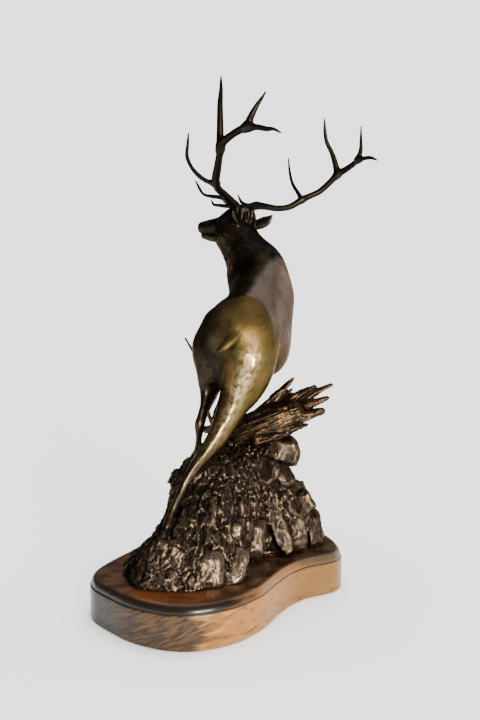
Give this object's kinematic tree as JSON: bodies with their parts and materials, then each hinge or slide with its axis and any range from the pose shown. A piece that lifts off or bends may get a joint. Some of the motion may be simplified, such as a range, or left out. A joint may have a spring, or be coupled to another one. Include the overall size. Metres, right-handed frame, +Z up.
{
  "type": "bronze elk sculpture",
  "caption": "Patinated bronze bull elk climbing a splintered log on a rock outcrop, standing on a curved hardwood slab.",
  "frame": {"origin": "middle of the wooden slab's underside, on the surface that it stands on", "axes": "+Z up; +X to the viewer's right in the front view, which shows the elk from behind; +Y away from that viewer, the way the elk climbs"},
  "size_m": [0.3717, 0.3749, 0.6482],
  "materials": {
    "bronze": "hollow cast bronze with a brown, olive gold and near black patina, burnished on its high points",
    "hardwood": "figured hardwood under clear gloss varnish"
  },
  "bodies": {
    "root": {"bronze_elk_on_rock": "bronze", "hardwood_slab": "hardwood"}
  },
  "joints": []
}
